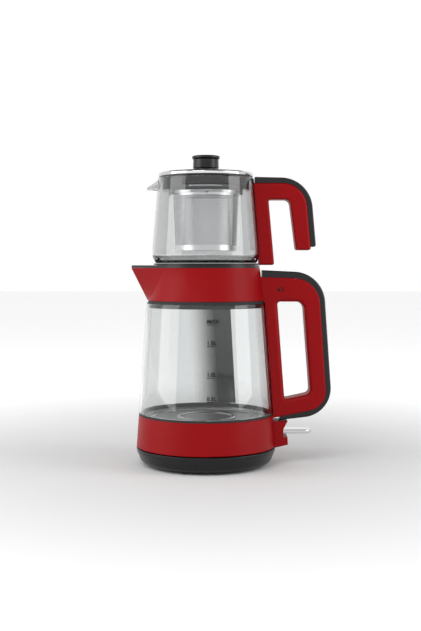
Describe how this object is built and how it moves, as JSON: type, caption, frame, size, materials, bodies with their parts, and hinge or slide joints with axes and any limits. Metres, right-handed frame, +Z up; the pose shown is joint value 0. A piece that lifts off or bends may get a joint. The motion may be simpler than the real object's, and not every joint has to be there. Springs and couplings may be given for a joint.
{
  "type": "automatic tea maker",
  "caption": "Stacked electric tea maker: glass kettle with red collar, beak spout and loop handle on a power base, glass teapot with strainer on top.",
  "frame": {"origin": "on the vessels' axis, at the plane the base's feet stand on", "axes": "+Z up along the vessels' axis, +X towards the handles, -X towards the spouts, +Y to the back seen with the handles on the right"},
  "size_m": [0.2262, 0.1584, 0.35],
  "materials": {
    "black_plastic": "satin black",
    "red_plastic": "satin dark red",
    "black_rubber": "matt",
    "clear_glass": "clear, slightly grey",
    "polished_steel": "polished",
    "satin_steel": "satin",
    "brass": "plain",
    "aluminium": "plain",
    "smoke_plastic": "smoky, see-through"
  },
  "bodies": {
    "power_base": {"base_shell": "black_plastic", "base_bottom": "black_plastic", "base_feet": "black_rubber", "base_connector": "black_plastic", "base_contacts": "brass", "cord_grommet": "black_rubber", "base_screws": "satin_steel"},
    "kettle": {"lower_band": "red_plastic", "kettle_bottom": "black_plastic", "cover_screws": "satin_steel", "kettle_connector": "black_plastic", "connector_pins": "brass", "heating_plate": "satin_steel", "heat_spreader": "aluminium", "heating_element": "satin_steel", "control_unit": "black_plastic", "lower_gasket": "black_rubber", "kettle_glass": "clear_glass", "upper_gasket": "black_rubber", "collar": "red_plastic", "collar_trim": "black_plastic", "spout_filter": "satin_steel", "kettle_handle": "red_plastic", "handle_strip": "black_plastic", "handle_screws": "satin_steel", "switch_housing": "red_plastic", "lever_pin": "satin_steel"},
    "lever": {"switch_lever": "polished_steel"},
    "steam_lid": {"kettle_lid": "black_plastic"},
    "teapot": {"teapot_glass": "clear_glass", "teapot_handle": "red_plastic", "teapot_handle_strip": "black_plastic"},
    "strainer": {"strainer_holder": "smoke_plastic", "strainer_rim": "polished_steel", "strainer_basket": "satin_steel", "basket_seam": "satin_steel", "basket_cap": "satin_steel"},
    "top_lid": {"lid_skirt": "black_plastic", "lid_rim": "polished_steel", "lid_cover": "black_plastic", "knob": "black_plastic", "knob_screw": "satin_steel"}
  },
  "joints": [
    {"name": "kettle_lift", "type": "slide", "parent": "power_base", "child": "kettle", "axis": [0, 0, 1], "range_m": [0, 0.06]},
    {"name": "switch_turn", "type": "hinge", "parent": "kettle", "child": "lever", "pos_m": [0.0832, 0, 0.0384], "axis": [0, 1, 0], "range_deg": [0, 12]},
    {"name": "steam_lid_lift", "type": "slide", "parent": "kettle", "child": "steam_lid", "axis": [0, 0, 1], "range_m": [0, 0.05]},
    {"name": "teapot_lift", "type": "slide", "parent": "steam_lid", "child": "teapot", "axis": [0, 0, 1], "range_m": [0, 0.08]},
    {"name": "strainer_lift", "type": "slide", "parent": "teapot", "child": "strainer", "axis": [0, 0, 1], "range_m": [0, 0.1]},
    {"name": "top_lid_lift", "type": "slide", "parent": "strainer", "child": "top_lid", "axis": [0, 0, 1], "range_m": [0, 0.06]}
  ]
}
